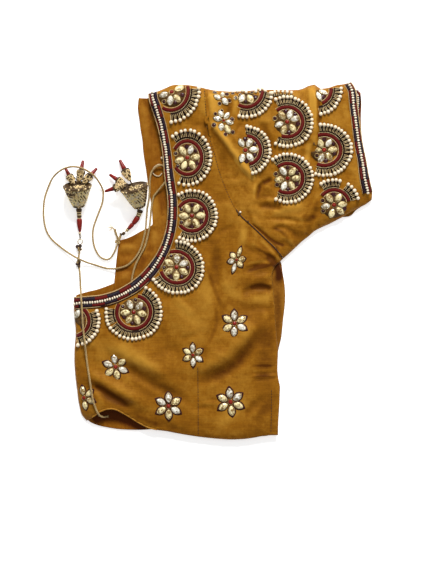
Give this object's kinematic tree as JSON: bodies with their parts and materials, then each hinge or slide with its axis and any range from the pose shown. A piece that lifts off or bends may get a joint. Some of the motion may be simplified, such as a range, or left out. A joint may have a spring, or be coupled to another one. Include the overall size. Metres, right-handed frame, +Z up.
{
  "type": "choli blouse",
  "caption": "Short-sleeved silk blouse with a deep scooped back, folded in half and laid flat, sewn with raised medallions, braid borders, and tie cords with cone tassels.",
  "frame": {"origin": "on the surface it lies on, under the middle of the folded garment's box, cords and tassels left out", "axes": "+X from the centre-back fold towards the sleeve, +Y from the hem to the shoulder, +Z up from the surface"},
  "size_m": [0.3475, 0.376, 0.0284],
  "materials": {
    "silk": "ochre slub silk with a two-tone sheen",
    "silk_inside": "the silk's duller wrong side",
    "hidden_silk": "the front layers inside the fold",
    "braid": "maroon and navy silk blocks beside a row of pearls, between gold cords",
    "medallion_work": "set stones, pearls and gold wire on a stiff ground",
    "stone_flowers": "cream stones in gold rims",
    "cord": "twisted gold thread",
    "beaded_gold": "wrapped gold thread and small beads",
    "red_beads": "red glass drop below gold beads",
    "ring_wire": "bent wire"
  },
  "bodies": {
    "root": {"back_panel": "silk", "cuff_border": "braid", "far_back_half": "silk_inside", "far_cuff_border": "braid", "far_sleeve": "silk", "front_half": "silk_inside", "hidden_layers": "hidden_silk", "left_tassel_bell": "beaded_gold", "left_tassel_bud_1": "beaded_gold", "left_tassel_bud_2": "beaded_gold", "left_tassel_bud_3": "beaded_gold", "left_tassel_ring": "ring_wire", "left_tassel_stem": "red_beads", "neck_border": "braid", "neck_medallion_1": "medallion_work", "neck_medallion_2": "medallion_work", "neck_medallion_3": "medallion_work", "neck_medallion_4": "medallion_work", "neck_medallion_5": "medallion_work", "neck_medallion_6": "medallion_work", "right_tassel_bell": "beaded_gold", "right_tassel_bud_1": "beaded_gold", "right_tassel_bud_2": "beaded_gold", "right_tassel_bud_3": "beaded_gold", "right_tassel_stem": "red_beads", "sleeve": "silk", "sleeve_medallion_1": "medallion_work", "sleeve_medallion_2": "medallion_work", "sleeve_medallion_3": "medallion_work", "sleeve_medallion_4": "medallion_work", "sleeve_medallion_5": "medallion_work", "sleeve_medallion_6": "medallion_work", "sleeve_medallion_7": "medallion_work", "sprig_1": "stone_flowers", "sprig_2": "stone_flowers", "sprig_3": "stone_flowers", "sprig_4": "stone_flowers", "sprig_5": "stone_flowers", "sprig_6": "stone_flowers", "sprig_7": "stone_flowers", "sprig_8": "stone_flowers", "sprig_9": "stone_flowers", "tie_cord_hem": "cord", "tie_cord_long": "cord", "tie_cord_short": "cord"}
  },
  "joints": []
}
